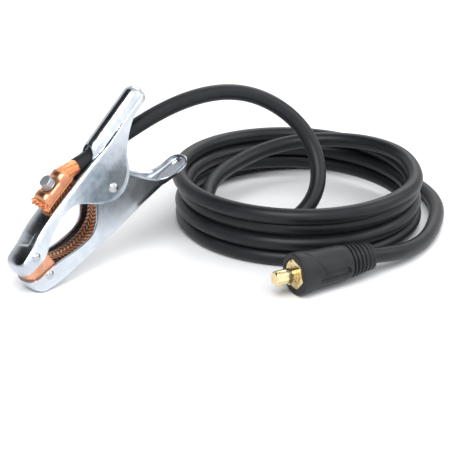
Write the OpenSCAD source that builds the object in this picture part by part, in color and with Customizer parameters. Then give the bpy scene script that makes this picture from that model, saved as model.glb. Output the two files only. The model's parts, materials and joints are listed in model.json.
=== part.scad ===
// Spring-loaded welding earth clamp with its cable and bayonet cable plug.
// X runs along the clamp from jaw to handles, Y along the pivot, Z up.

/* [Clamp arms] */
// Length of each arm from nose to handle tip
arm_length = 185; // [176:1:196]
// Outer width of the jaw nose
nose_width = 27; // [25:0.5:28]
// Outer width across the upper arm's ears
ear_width = 32; // [31:0.5:34]
// Thickness of the pressed sheet
sheet = 2; // [1.5:0.1:2.2]
// Outer radius of the rounded handles
handle_radius = 10; // [9.5:0.1:11]
// Angle at which the closed clamp leans on the cable coil
lean = 33; // [30:1:36]

/* [Pivot and spring] */
// Distance of the pivot from the nose, along the arms
pivot_x = 109; // [107:0.5:111]
// Height of the pivot above the arms' middle plane
pivot_z = 4; // [3:0.5:5]
// Shank diameter of the pivot rivet
rivet_diameter = 8; // [7:0.5:8]
// Wire diameter of the torsion spring
spring_wire = 2.8; // [2.4:0.1:3]
// Full turns of the torsion spring
spring_turns = 4; // [3:1:4]

/* [Jaw pads and braid] */
// Length of the copper pads
pad_length = 29; // [26:1:31]
// Thickness of the pads' contact plates
pad_plate = 3; // [2.5:0.1:3.5]
// Width of the braided copper strap
braid_width = 16; // [12:0.5:16]
// Thickness of one layer of the strap
braid_layer = 1.6; // [1.2:0.1:1.8]

/* [Cable clamp] */
// Thread diameter of the cable bolt
bolt_diameter = 6; // [5:1:6]
// Width across flats of the bolt's hexagon
bolt_flats = 10.5; // [9.5:0.5:11]
// Place of the bolt along the arm
bolt_x = 71.5; // [70:0.5:73]

/* [Cable] */
// Outer diameter of the cable
cable_diameter = 14; // [13:0.5:14]
// Radius of the coil at the middle of the cable
coil_radius = 108; // [106:1:108]

/* [Plug] */
// Largest diameter of the plug's housing
plug_diameter = 37; // [34:1:38]
// Diameter of the contact pin
pin_diameter = 13; // [12.8:0.1:13.2]
// Length of the contact pin in front of its hexagon
pin_length = 19; // [17:1:22]

/* [Hidden] */
$fn = 48;

gap = 0.2;                       // clearance between neighbours on different bodies
steel = [0.74, 0.77, 0.80];
dark_steel = [0.45, 0.47, 0.50];
copper = [0.80, 0.47, 0.30];
brass = [0.85, 0.68, 0.35];
rubber = [0.13, 0.13, 0.14];

// Place of the clamp: the front of its nose, and the height that stands it on z = 0
nose_x = -87.2;
nose_z = 15.2;

nose_r = nose_width / 2;
nose_corner = 10;                // radius of the nose's corners, seen from above
ear_r = ear_width / 2;
rivet_r = rivet_diameter / 2;
bore_r = rivet_r + 0.05;
web_slope = 7.6;                 // degrees, of the web beneath the cable bolt
web_front = [44, 26.8];          // where that sloping stretch of the web begins
slot_front = 79;
slot_rear = 118;
slot_r = 8.5;
handle_front = 114;
handle_rise = 10;                // degrees, of the handle's tube
handle_axis_z = 33;              // height of the tube's axis at handle_front
tip_x = arm_length - handle_radius;
tip_z = handle_axis_z + (tip_x - handle_front) * tan(handle_rise);
parting = 3;                     // height of the face where the two pads meet

// Web line of each arm: [along the arm, height], from nose to tip
upper_web = [[0, 11], [1.5, 13.5], [6, 15.8], [19, 19], web_front, [114, 36],
             [tip_x, tip_z + 1], [arm_length + 2, tip_z + 1]];
lower_web = [[0, 12], [1.5, 17.5], [6, 22], [13, 24.5], [23, 27], [59, 31.4],
             [114, 37], [tip_x, tip_z + 1], [arm_length + 2, tip_z + 1]];
// Free edge of each arm's walls, as heights towards its own web
upper_edge = [[-3, 3.4], [10, 3.4], [22, 3.6], [29, 6.6], [36, 11.6], [44, 16.2],
              [55, 19.6], [66, 21.2], [73, 20], [80, 14.8], [87, 6.5], [94, 0],
              [102, -4.8], [110, -6.4], [118, -4.6], [126, 1.2], [132, 10],
              [137, 18.5], [144, 24.5], [152, 31], [161, 36.6], [172, 39.4],
              [192, 40]];
lower_edge = [[-3, 4.5], [5, 6.2], [13, 7.8], [30, 9.6], [46, 14], [60, 16.4],
              [70, 16.4], [78, 12], [84, 5], [89, -3], [95, -10.5], [103, -15.4],
              [112, -15.6], [120, -10.6], [127, -2.6], [133, 6.5], [139, 16.5],
              [146, 26.5], [153, 33.2], [162, 37.4], [172, 39.6], [192, 40]];

// Cable: inside the upper arm, then the free loop, then down to the coil
entry_route = [[-25, 0, 99.5], [-11, 0, 103.5], [3, 0, 108.5], [28.2, 0, 117.2]];
loop_route = [
    [29, 0, 117.5], [54, -2, 126.5], [79, -5, 133.5], [103, -10, 137.5], [127, -16, 137.5],
    [150, -26, 132], [169, -38, 120], [183, -50, 104], [189, -62, 86], [186, -74, 69],
    [177, -83, 54], [163, -88, 42], [147, -86, 32], [131, -77, 24.5], [118, -61, 20.5],
    [111, -40, 19], [112, -16, 21], [121, 6, 25.5], [139, 24, 31], [162, 37, 35],
    [188, 41, 39], [214, 41, 43.5], [240, 33, 48], [262, 17, 51.5], [279, -4, 53.5],
    [290, -28, 55], [295, -53, 55], [292, -78, 54], [279, -102, 52.5]
];
coil_centre = [203, -29];
coil_start = 0.8;                // turns from the front of the coil
coil_end = 4.25;
tail_centre = [221, -26];
tail_radius = 119;
tail_end = 4.78;
tail_route = [[258, -145, 7], [226, -159, 9], [194, -166, 14], [164, -163, 18.5]];
camera_side = -130;              // degrees, direction of the coil's front

plug_rear = [164, -163, 18.5];   // where the cable enters the plug
plug_turn = 170;                 // degrees, the plug's axis seen from above
plug_length = 77;

// ---------- helpers ----------
// Cubic through a, b, c and d, between b and c
function cubic(a, b, c, d, t) =
    0.5 * (2 * b + (c - a) * t + (2 * a - 5 * b + 4 * c - d) * t * t
           + (3 * b - a - 3 * c + d) * t * t * t);
// Smooth curve through a list of points
function curve(p, steps) = [
    for (i = [0 : len(p) - 2], k = [0 : steps - 1])
        cubic(p[max(i - 1, 0)], p[i], p[i + 1], p[min(i + 2, len(p) - 1)], k / steps),
    p[len(p) - 1]
];
function unit(v) = v / norm(v);
function reversed(p) = [for (i = [len(p) - 1 : -1 : 0]) p[i]];
function tangent(p, i) = unit(p[min(i + 1, len(p) - 1)] - p[max(i - 1, 0)]);
// Direction across the tube at each ring, carried along without twist
function carry(v, t) = unit(v - (v * t) * t);
function sides(p, i = 0, v = [0, 0, 1], done = []) =
    i == len(p) ? done
    : let (w = carry(v, tangent(p, i))) sides(p, i + 1, w, concat(done, [w]));

// Tube of radius r along the points p, with n sides
module tube(p, r, n = 10) {
    across = sides(p);
    rings = [
        for (i = [0 : len(p) - 1], k = [0 : n - 1])
            let (u = across[i], v = cross(tangent(p, i), u), a = 360 * k / n)
            p[i] + r * (cos(a) * u + sin(a) * v)
    ];
    last = n * (len(p) - 1);
    polyhedron(rings, concat(
        [[for (k = [0 : n - 1]) n - 1 - k]],
        [for (i = [0 : len(p) - 2], k = [0 : n - 1])
            let (a = i * n + k, b = i * n + (k + 1) % n) [a, b, b + n, a + n]],
        [[for (k = [0 : n - 1]) last + k]]
    ));
}

// Strip of constant thickness around the points p in the plane of the arms
function normal(p, i) = let (t = tangent(p, i)) [-t[1], t[0]];
module strip(p, thickness, width, shift = 0) {
    edge = [for (i = [0 : len(p) - 1]) p[i] + (shift + thickness / 2) * normal(p, i)];
    other = [for (i = [0 : len(p) - 1]) p[i] + (shift - thickness / 2) * normal(p, i)];
    side_plate(concat(edge, reversed(other)), width);
}

// Plate with the given side outline, centred across the arms
module side_plate(outline, width) {
    translate([0, width / 2, 0]) rotate([90, 0, 0]) linear_extrude(width) polygon(outline);
}

// The clamp's own frame, leaning with its nose on the ground
module lean_over() {
    translate([nose_x, 0, nose_z]) rotate([0, -lean, 0]) children();
}
module on_upper_web(x, lift = 0) {
    translate([x, 0, web_front[1] + (x - web_front[0]) * tan(web_slope) + lift])
        rotate([0, -web_slope, 0]) children();
}
module at_pivot() { translate([pivot_x, 0, pivot_z]) rotate([90, 0, 0]) children(); }

// ---------- arms ----------
// Nose seen from above, with rounded corners
module nose_plan(inset) {
    straight = nose_r - nose_corner;
    for (side = [-1, 1]) translate([nose_corner, side * straight]) circle(r = nose_corner - inset);
    translate([inset, -straight]) square([nose_corner - inset, 2 * straight]);
}
// Outline seen from above: rounded nose, wider ears, narrow round handle
module arm_plan(ear, inset) {
    hip_end = ear > nose_r ? 130 : 118;
    nose = nose_r - inset;
    hip = ear - inset;
    grip = handle_radius + 0.6 - inset;
    nose_plan(inset);
    polygon([
        [nose_corner, nose], [56, nose], [84, hip], [hip_end, hip], [152, grip + 1], [tip_x, grip],
        [tip_x, -grip], [152, -grip - 1], [hip_end, -hip], [84, -hip], [56, -nose], [nose_corner, -nose]
    ]);
    translate([tip_x, 0]) circle(r = grip);
}
// Half tube of the handle with its round end
module handle_tube(r) {
    reach = (tip_x - handle_front) / cos(handle_rise);
    translate([handle_front, 0, handle_axis_z]) rotate([0, 90 - handle_rise, 0]) rotate_extrude() {
        square([r, reach]);
        translate([0, reach]) intersection() {
            circle(r = r);
            square(r);
        }
    }
}
module arm_solid(web, ear, inset) {
    intersection() {
        translate([0, 0, -20]) linear_extrude(90) arm_plan(ear, inset);
        side_plate(concat([for (q = web) [q[0], q[1] - inset]],
                          [[arm_length + 2, -60], [0, -60]]), 60);
    }
    handle_tube(handle_radius - inset);
}
module arm_shell(web, edge, ear) {
    wall = curve(edge, 3);
    difference() {
        intersection() {
            arm_solid(web, ear, 0);
            side_plate(concat(wall, [[192, 70], [-3, 70]]), 60);
        }
        arm_solid(web, ear, sheet);
    }
}

module upper_arm() {
    color(steel) lean_over() difference() {
        arm_shell(upper_web, upper_edge, ear_r);
        at_pivot() cylinder(r = bore_r, h = 60, center = true);
        translate([slot_front, -slot_r, 25]) cube([slot_rear - slot_r - slot_front, 2 * slot_r, 40]);
        translate([slot_rear - slot_r, 0, 25]) cylinder(r = slot_r, h = 40);
        on_upper_web(bolt_x) cylinder(r = bolt_diameter / 2 + 0.25, h = 30, center = true);
        pad_rivet_bores(upper_rivet_z, pad_rivet_r + 0.05);
    }
}
module lower_arm() {
    color(steel) lean_over() difference() {
        mirror([0, 0, 1]) arm_shell(lower_web, lower_edge, nose_r);
        at_pivot() cylinder(r = bore_r, h = 60, center = true);
        pad_rivet_bores(lower_rivet_z, pad_rivet_r + 0.05);
    }
}

// ---------- pivot and spring ----------
// Low dome of radius r and height h on the plane z = 0
module dome(r, h) {
    ball = (r * r + h * h) / (2 * h);
    intersection() {
        translate([0, 0, h - ball]) sphere(r = ball);
        cylinder(r = r, h = h);
    }
}
module pivot_rivet() {
    head_y = ear_r + 0.1;
    color(steel) lean_over() at_pivot() {
        cylinder(r = rivet_r, h = 2 * head_y + 0.2, center = true);
        for (flip = [0, 180]) rotate([flip, 0, 0]) translate([0, 0, head_y]) dome(4.8, 2.8);
    }
}
module pivot_spacer() {
    length = nose_width - 2 * sheet - 2 * gap;
    color(dark_steel) lean_over() at_pivot() difference() {
        cylinder(r = rivet_r + 1.4, h = length, center = true);
        cylinder(r = bore_r, h = length + 2, center = true);
    }
}
// Spring wire around the pivot: a close helix with one leg up each handle
spring_r = rivet_r + 1.4 + 0.5 + spring_wire / 2;
spring_width = 17.6;
upper_leg = [43, 37];            // direction in degrees, length
lower_leg = [-52, 44.5];
spring_from = lower_leg[0] - 90;
spring_sweep = lower_leg[0] - upper_leg[0] - 180 - 360 * spring_turns;
function spring_point(t) =
    let (a = spring_from + spring_sweep * t)
    [pivot_x + spring_r * cos(a), spring_width * (0.5 - t), pivot_z + spring_r * sin(a)];
function leg_end(p, leg) = p + leg[1] * [cos(leg[0]), 0, sin(leg[0])];
spring_steps = 12 * spring_turns + 3;
spring_path = concat(
    [leg_end(spring_point(0), lower_leg)],
    [for (i = [0 : spring_steps]) spring_point(i / spring_steps)],
    [leg_end(spring_point(1), upper_leg)]
);
module torsion_spring() {
    color(dark_steel) lean_over() tube(spring_path, spring_wire / 2, 8);
}

// ---------- jaw pads ----------
pad_r = nose_r - sheet - gap;
pad_wall = 2;
pad_rivet_x = 19;
pad_rivet_r = 2;
upper_rivet_z = 11;
lower_rivet_z = -12;
module pad_plan(inset) {
    half = pad_r - inset;
    reach = pad_length - nose_corner + (inset > 0 ? 5 : 0);
    nose_plan(sheet + gap + inset);
    translate([nose_corner, -half]) square([reach, 2 * half]);
}
// Cup of plate and side walls, opening towards the arm's web
module jaw_pad(depth) {
    difference() {
        linear_extrude(depth) pad_plan(0);
        translate([0, 0, pad_plate]) linear_extrude(depth) pad_plan(pad_wall);
    }
}
module pad_rivet_place(side, height) {
    translate([pad_rivet_x, side * nose_r, height]) rotate([-90 * side, 0, 0]) children();
}
module pad_rivet_bores(height, r) {
    for (side = [-1, 1]) pad_rivet_place(side, height) cylinder(r = r, h = 12, center = true);
}
module pad_rivets(height) {
    for (side = [-1, 1]) pad_rivet_place(side, height) {
        translate([0, 0, -sheet - gap - pad_wall]) cylinder(r = pad_rivet_r, h = sheet + gap + pad_wall + 0.1);
        dome(3.4, 1.8);
    }
}
module upper_jaw_pad() {
    color(copper) lean_over() difference() {
        intersection() {
            translate([0, 0, parting + gap]) jaw_pad(12);
            side_plate(concat([for (q = upper_web) [q[0], q[1] - sheet - gap]], [[100, -5], [0, -5]]), 60);
        }
        pad_rivet_bores(upper_rivet_z, pad_rivet_r);
    }
}
module lower_jaw_pad() {
    color(copper) lean_over() difference() {
        translate([0, 0, parting]) mirror([0, 0, 1]) intersection() {
            jaw_pad(18.5);
            translate([0, 0, parting])
                side_plate(concat([for (q = lower_web) [q[0], q[1] - sheet - gap]],
                                  [[100, -9], [0, -9]]), 60);
        }
        pad_rivet_bores(lower_rivet_z, pad_rivet_r);
    }
}
module upper_pad_rivets() { color(steel) lean_over() pad_rivets(upper_rivet_z); }
module lower_pad_rivets() { color(steel) lean_over() pad_rivets(lower_rivet_z); }

// ---------- cable clamp on the upper arm ----------
stack_low = 2 * braid_layer + 0.1;   // top of the braid above the web
conductor_height = 8;
saddle_sheet = 2.5;
saddle_length = 30;
saddle_width = 21;
saddle_top = stack_low + conductor_height + saddle_sheet;
head_height = 5;
washer_sheet = 1.5;
nut_height = 5;
hump_length = 8;
hump_rise = 2;
// Bar with round top edges lying along X, centred on the bolt
module round_bar(length, width, height, r) {
    rotate([90, 0, 90]) translate([0, 0, -length / 2]) linear_extrude(length) intersection() {
        union() {
            translate([-width / 2, 0]) square([width, height - r]);
            translate([r - width / 2, 0]) square([width - 2 * r, height]);
            for (side = [-1, 1]) translate([side * (width / 2 - r), height - r]) circle(r = r);
        }
        translate([-width / 2, 0]) square([width, height]);
    }
}
module cable_saddle() {
    height = conductor_height + saddle_sheet;
    color(copper) lean_over() on_upper_web(bolt_x) difference() {
        translate([0, 0, stack_low]) {
            round_bar(saddle_length, saddle_width, height, 4);
            for (side = [-1, 1]) translate([side * (saddle_length - hump_length) / 2, 0, 0])
                round_bar(hump_length, saddle_width - 3, height + hump_rise, 7);
        }
        translate([0, 0, stack_low - 1])
            round_bar(saddle_length + 2, saddle_width - 2 * saddle_sheet, conductor_height + 1, 3);
        cylinder(r = bolt_diameter / 2 + 0.25, h = 60, center = true);
    }
}
module bare_conductor() {
    width = saddle_width - 2 * saddle_sheet - 0.4;
    color(copper) lean_over() difference() {
        union() {
            on_upper_web(bolt_x) translate([-1, 0, stack_low])
                round_bar(36, width, conductor_height - 0.2, 3);
            on_upper_web(bolt_x + 17, 7.4) rotate([0, 90 + 26, 0])
                translate([0, 0, -1]) cylinder(r = 5.2, h = 11.5);
        }
        on_upper_web(bolt_x) cylinder(r = bolt_diameter / 2 + 0.25, h = 60, center = true);
    }
}
module hexagon(flats, height) { cylinder(r = flats / sqrt(3), h = height, $fn = 6); }
module cable_bolt() {
    under = sheet + washer_sheet + nut_height + 2;   // down to two threads below the nut
    color(steel) lean_over() on_upper_web(bolt_x) {
        translate([0, 0, saddle_top]) intersection() {
            hexagon(bolt_flats, head_height);
            translate([0, 0, head_height - 24]) sphere(r = 24);
        }
        translate([0, 0, -under]) cylinder(r = bolt_diameter / 2, h = saddle_top + under + 0.5);
    }
}
module bolt_washer() {
    color(steel) lean_over() on_upper_web(bolt_x)
        translate([0, 0, -sheet - washer_sheet - 0.05]) difference() {
            cylinder(r = bolt_diameter + 0.5, h = washer_sheet);
            translate([0, 0, -1]) cylinder(r = bolt_diameter / 2 + 0.2, h = 4);
        }
}
module bolt_nut() {
    color(steel) lean_over() on_upper_web(bolt_x)
        translate([0, 0, -sheet - washer_sheet - nut_height - 0.1]) difference() {
            hexagon(bolt_flats, nut_height);
            translate([0, 0, -1]) cylinder(r = bolt_diameter / 2 + 0.05, h = 9);
        }
}

// ---------- braided strap ----------
// Middle of the two layers: along the upper web, through the slot, round to the lower pad
web_lift = braid_layer;
braid_path = curve([
    [54, 28.2 + web_lift], [64, 29.5 + web_lift], [74, 30.8 + web_lift],
    [81, 31.4 + web_lift], [86.5, 28.5], [90.5, 21], [92.5, 12], [92.5, 3],
    [90, -5], [84.5, -12.5], [76, -17.8], [65, -19.9], [54, -19.2], [44, -16.4],
    [36, -12.4], [29, -7.6], [22, -3.2], [14, -1.7]
], 3);
module braid(shift) {
    strip(braid_path, braid_layer - 0.1, braid_width, shift);
}
module braid_hole() { on_upper_web(bolt_x) cylinder(r = bolt_diameter / 2 + 0.25, h = 30, center = true); }
module braid_inner() {
    color(copper) lean_over() difference() { braid(-braid_layer / 2); braid_hole(); }
}
module braid_outer() {
    color(copper) lean_over() difference() { braid(braid_layer / 2); braid_hole(); }
}

// ---------- cable ----------
cable_r = cable_diameter / 2;
// Place of each turn of the coil at its front: height of its middle, and how far out it lies
turn_heights = [61, 47.5, 34.8, 21, cable_r, cable_r];
turn_shifts = [0, 3, -3, 0, 0, 0];
// Value of such a list after u turns: level near the front, then easing to the next turn's
function along_turns(list, u) =
    let (n = floor(u), w = ease((u - n - 0.25) / 0.75)) (1 - w) * list[n] + w * list[n + 1];
function coil_angle(u) = camera_side - 360 * u;
function round_at(c, r, u) = [c[0] + r * cos(coil_angle(u)), c[1] + r * sin(coil_angle(u))];
function ease(t) = let (s = min(1, max(0, t))) s * s * (3 - 2 * s);
function coil_point(u) =
    let (w = ease((u - 4.1) / 0.35),
         r = coil_radius + along_turns(turn_shifts, u),
         q = (1 - w) * round_at(coil_centre, r, u) + w * round_at(tail_centre, tail_radius, u))
    [q[0], q[1], along_turns(turn_heights, u)];
tail_steps = 14;
tail_path = concat(
    [for (i = [0 : tail_steps]) coil_point(coil_end + (tail_end - coil_end) * i / tail_steps)],
    tail_route
);
module cable_entry() { color(rubber) tube(entry_route, cable_r - 0.02, 12); }
module cable_loop() {
    color(rubber) tube(concat(loop_route, [coil_point(coil_start)]), cable_r, 10);
}
// Half section of a stretch of the coil: a square with rounded corners
module ring_section(half_width, low, high) {
    corner = 4;
    translate([coil_radius - half_width, low + corner]) square([2 * half_width, high - low - 2 * corner]);
    translate([coil_radius - half_width + corner, low]) square([2 * (half_width - corner), high - low]);
    for (side = [-1, 1], y = [low + corner, high - corner])
        translate([coil_radius + side * (half_width - corner), y]) circle(r = corner);
}
module cable_coil() {
    loose = cable_r + 0.2;
    color(rubber) translate([coil_centre[0], coil_centre[1], 0]) rotate_extrude($fn = 72) {
        ring_section(loose, 0, turn_heights[3] + loose);
        ring_section(loose + turn_shifts[1], turn_heights[2] - cable_r, turn_heights[1] + loose);
    }
}
module cable_tail() { color(rubber) tube(tail_path, cable_r, 10); }

// ---------- plug ----------
// The plug's own frame: +Z from the cable's end to the pin's tip
module plug_place() {
    translate(plug_rear) rotate([0, 90, plug_turn]) children();
}
plug_r = plug_diameter / 2;
boot_r = 11.4;
boot_length = 24;
collar_length = 3.4;
rib_count = 5;
rib_rear_r = 12.4;
rib_front_r = 14.4;
rib_width = 2.6;
rib_pitch = 4.2;
rib_start = 4.2;
hex_flats = 24;
screw_places = [42, 54];         // along the plug, of the two set screws
hex_height = 7;
bore_rear = 20;                  // where the housing's cable bore widens for the contact
bore_housing = 10.6;
module plug_housing() {
    color(rubber) plug_place() difference() {
        rotate_extrude($fn = 64) polygon([
            [0, 0.1], [boot_r - 0.5, 0.1], [rib_rear_r - 0.4, 1], [rib_rear_r - 0.4, collar_length],
            [boot_r, collar_length], [boot_r + 1, boot_length],
            [14.6, boot_length + 1.5], [15.6, boot_length + 6], [plug_r - 2, plug_length - 20],
            [plug_r, plug_length - 6], [plug_r, plug_length - 1.5],
            [plug_r - 1.5, plug_length], [0, plug_length]
        ]);
        translate([0, 0, -1]) cylinder(r = 8.2, h = bore_rear + 2);
        translate([0, 0, bore_rear]) cylinder(r = bore_housing, h = plug_length);
        translate([0, 0, plug_length - hex_height - 0.4]) hexagon(hex_flats + 0.6, hex_height + 1);
        for (side = [-1, 1]) translate([0, side * (plug_r + 1), boot_length + 20])
            cube([11, 6, 29], center = true);
    }
    color(rubber) plug_place() for (i = [0 : rib_count - 1])
        translate([0, 0, rib_start + i * rib_pitch]) difference() {
            cylinder(r = rib_rear_r + (rib_front_r - rib_rear_r) * i / (rib_count - 1), h = rib_width);
            translate([0, 0, -1]) cylinder(r = boot_r - 1, h = rib_width + 2);
        }
}
pin_r = pin_diameter / 2;
pin_seat = 10;                   // plain length of the pin in front of its locking cam
pin_front = plug_length + pin_length - pin_seat - 1;
module plug_contact() {
    base = plug_length - hex_height - 0.3;
    color(brass) plug_place() difference() {
        union() {
            translate([0, 0, 28]) cylinder(r = bore_housing - 0.1, h = base - 27);
            translate([0, 0, base]) hexagon(hex_flats, hex_height);
            translate([0, 0, base + 1]) cylinder(r = pin_r - 0.2, h = pin_front - base - 1);
            translate([0, 0, pin_front]) cylinder(r = pin_r, h = pin_seat);
            translate([0, 0, pin_front + pin_seat]) cylinder(r1 = pin_r, r2 = pin_r - 1, h = 1);
            translate([pin_r - 1, -2.2, pin_front - 7]) cube([3.6, 4.4, 6]);
        }
        translate([0, 0, 27]) cylinder(r = 7.4, h = 34);
        for (z = screw_places) translate([0, 0, z]) rotate([90, 0, 0]) cylinder(r = 2.95, h = 20);
    }
}
module plug_ferrule() {
    color(copper) plug_place() translate([0, 0, 30]) difference() {
        cylinder(r = 7.3, h = 28);
        translate([0, 0, -1]) cylinder(r = 6.5, h = 31);
    }
}
module plug_conductor() {
    color(copper) plug_place() translate([0, 0, 21]) cylinder(r = 6.4, h = 36);
}
module plug_set_screws() {
    color(dark_steel) plug_place() for (z = screw_places)
        translate([0, -7.35, z]) rotate([90, 0, 0]) difference() {
            cylinder(r = 2.9, h = 2.7);
            translate([0, 0, 1]) hexagon(3, 3);
        }
}

upper_arm();
lower_arm();
pivot_rivet();
pivot_spacer();
torsion_spring();
upper_jaw_pad();
lower_jaw_pad();
upper_pad_rivets();
lower_pad_rivets();
cable_saddle();
cable_bolt();
bolt_washer();
bolt_nut();
bare_conductor();
braid_inner();
braid_outer();
cable_entry();
cable_loop();
cable_coil();
cable_tail();
plug_housing();
plug_contact();
plug_ferrule();
plug_set_screws();
plug_conductor();
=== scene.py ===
"""Welding earth clamp with its cable and plug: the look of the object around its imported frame.

Shapes are worked out in millimetres and turned into metres when a mesh is made. A point is in the
shared frame or in one that a function turns into it: the clamp's own, with x along the arms from the
nose, y across and z from the lower web to the upper; the one on the upper web under the bolt; or the
plug's.
"""
import json
import math
import random
from contextlib import contextmanager

import bmesh
import bpy
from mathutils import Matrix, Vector


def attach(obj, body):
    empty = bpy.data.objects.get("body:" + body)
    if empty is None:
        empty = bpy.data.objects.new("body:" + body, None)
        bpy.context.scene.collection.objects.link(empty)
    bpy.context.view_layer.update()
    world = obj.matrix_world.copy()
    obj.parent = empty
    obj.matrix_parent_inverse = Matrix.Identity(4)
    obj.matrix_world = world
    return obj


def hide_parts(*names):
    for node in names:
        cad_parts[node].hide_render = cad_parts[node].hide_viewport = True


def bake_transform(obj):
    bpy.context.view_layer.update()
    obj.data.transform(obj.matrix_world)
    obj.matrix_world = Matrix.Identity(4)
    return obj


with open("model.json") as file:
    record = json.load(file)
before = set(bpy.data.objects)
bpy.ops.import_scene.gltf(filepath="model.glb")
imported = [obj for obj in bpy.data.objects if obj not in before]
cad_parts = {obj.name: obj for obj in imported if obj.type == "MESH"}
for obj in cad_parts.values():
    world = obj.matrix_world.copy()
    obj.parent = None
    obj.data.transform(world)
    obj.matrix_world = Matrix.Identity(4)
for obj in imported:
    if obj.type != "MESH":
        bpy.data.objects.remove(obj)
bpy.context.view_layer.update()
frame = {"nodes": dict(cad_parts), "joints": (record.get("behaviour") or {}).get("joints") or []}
MM = 0.001
HINGE = Vector(frame["joints"][0]["pos_m"]) / MM
LEAN = math.radians(33)  # how far the clamp leans back from its nose
PIVOT = Vector((109.0, 0.0, 4.0))  # in the clamp's own frame
LOWER, UPPER = "lower_jaw", "upper_jaw"

# ---- numbers of the design
NOSE_R = 13.5  # half the width of the noses
NOSE_CORNER, NOSE_POWER = 10.0, 2.35  # length of a nose's rounded end, and how square it is
EAR_R = 16.0  # half the width over the ears
GRIP_R, TIP_X = 10.6, 175.0  # half the width of a handle, and where its round end begins
HANDLE_R, HANDLE_START = 10.0, 98.0  # the upper handle's round top, and where it rises from the web
SHEET = 2.0
CROWN = 0.008  # how fast the upper web falls off to its sides
WEB_KNEE, WEB_SLOPE = (44.0, 26.8), math.radians(7.6)  # where the upper web's even slope begins
BOLT_X = 71.5
SLOT_FRONT, SLOT_REAR, SLOT_R = 79.0, 118.0, 8.5
# The embossed panel behind the upper nose: its reach along and to each side, and its height.
PANEL_FRONT, PANEL_REAR, PANEL_NEAR, PANEL_FAR, PANEL_RISE = 19.9, 29.0, 5.6, 9.6, 0.5
CABLE_R = 7.0


# ---- small helpers
def clamp_to_shared(p):
    """A point of the clamp's own frame, in the shared one."""
    q = Vector(p) - PIVOT
    x = q.x * math.cos(LEAN) - q.z * math.sin(LEAN)
    z = q.x * math.sin(LEAN) + q.z * math.cos(LEAN)
    return Vector((HINGE.x + x, q.y, HINGE.z + z))


def smooth(t):
    """0 below 0 and 1 above 1, with an even bend between them."""
    t = min(1.0, max(0.0, t))
    return t * t * (3 - 2 * t)


def between(a, b, t):
    return a + (b - a) * t


def line(points, x):
    """Height of a line of (x, height) points at x."""
    if x <= points[0][0]:
        return points[0][1]
    for (xa, za), (xb, zb) in zip(points, points[1:]):
        if x <= xb:
            return between(za, zb, (x - xa) / (xb - xa))
    return points[-1][1]


def spline(points, steps):
    """Smooth curve through points, with the given steps between each pair."""
    pts = [Vector(p) for p in points]
    pts = [2 * pts[0] - pts[1]] + pts + [2 * pts[-1] - pts[-2]]
    out = []
    for a, b, c, d in zip(pts, pts[1:], pts[2:], pts[3:]):
        for i in range(steps):
            t = i / steps
            out.append(0.5 * (2 * b + (c - a) * t + (2 * a - 5 * b + 4 * c - d) * t * t
                              + (3 * b - a - 3 * c + d) * t * t * t))
    out.append(pts[-2])
    return out


def even(points, step):
    """The same line with points a step apart."""
    out = [points[0].copy()]
    left = step
    for a, b in zip(points, points[1:]):
        span = (b - a).length
        at = left
        while at <= span:
            out.append(a.lerp(b, at / span))
            at += step
        left = at - span
    if (out[-1] - points[-1]).length <= step * 0.3:
        out.pop()
    return out + [points[-1].copy()]


def relaxed(points, rounds):
    """The line with its kinks eased, its ends kept."""
    pts = [p.copy() for p in points]
    for _ in range(rounds):
        pts = [pts[0]] + [0.25 * a + 0.5 * b + 0.25 * c
                          for a, b, c in zip(pts, pts[1:], pts[2:])] + [pts[-1]]
    return pts


def lengths(points):
    """How far along a line each of its points lies."""
    out = [0.0]
    for a, b in zip(points, points[1:]):
        out.append(out[-1] + (b - a).length)
    return out


def frames(points, up):
    """At each point of a line, two directions across it that do not twist along it."""
    out = []
    across = Vector(up)
    for i in range(len(points)):
        tangent = (points[min(i + 1, len(points) - 1)] - points[max(i - 1, 0)]).normalized()
        across = (across - tangent * across.dot(tangent)).normalized()
        out.append((across, tangent.cross(across)))
    return out


# ---- meshes
def placed(name, data):
    """A new object of the given data, linked to the scene."""
    thing = bpy.data.objects.new(name, data)
    bpy.context.scene.collection.objects.link(thing)
    return thing


@contextmanager
def edited(mesh):
    """The mesh as a bmesh, which is written back at the end."""
    bm = bmesh.new()
    bm.from_mesh(mesh)
    yield bm
    bm.to_mesh(mesh)
    bm.free()


def make_piece(name, verts, faces, slot, body, angle=35.0, where=clamp_to_shared, look=None, tones=None):
    """An object of the given faces, its points in the frame that where turns into the shared one.

    Tones, kept as the point attribute height, set the copper's colour: in the braid they are the weave's
    height and paint shade into its grooves, in the loose wires a random tone for each wire.
    """
    mesh = bpy.data.meshes.new(name)
    mesh.from_pydata([where(v) * MM for v in verts], [], faces)
    if tones:
        mesh.attributes.new("height", "FLOAT", "POINT").data.foreach_set("value", tones)
    with edited(mesh) as bm:
        bmesh.ops.remove_doubles(bm, verts=bm.verts, dist=2e-6)
        bmesh.ops.dissolve_degenerate(bm, edges=bm.edges, dist=1e-7)
        bmesh.ops.recalc_face_normals(bm, faces=bm.faces)
    piece = placed(name, mesh)
    finish_piece(piece, slot, angle, look)
    if body:
        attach(piece, body)
    return piece


def finish_piece(piece, slot, angle, look=None):
    """Gives the piece its material, and smooth shading up to an angle in degrees."""
    mesh = piece.data
    mesh.materials.clear()
    mesh.materials.append(LOOKS[look or slot])
    mesh.polygons.foreach_set("use_smooth", [True] * len(mesh.polygons))
    mesh.set_sharp_from_angle(angle=math.radians(angle))


def bake(piece):
    """Applies the piece's modifiers to its mesh."""
    deps = bpy.context.evaluated_depsgraph_get()
    mesh = bpy.data.meshes.new_from_object(piece.evaluated_get(deps))
    old = piece.data
    piece.modifiers.clear()
    piece.data = mesh
    bpy.data.meshes.remove(old)


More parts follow.
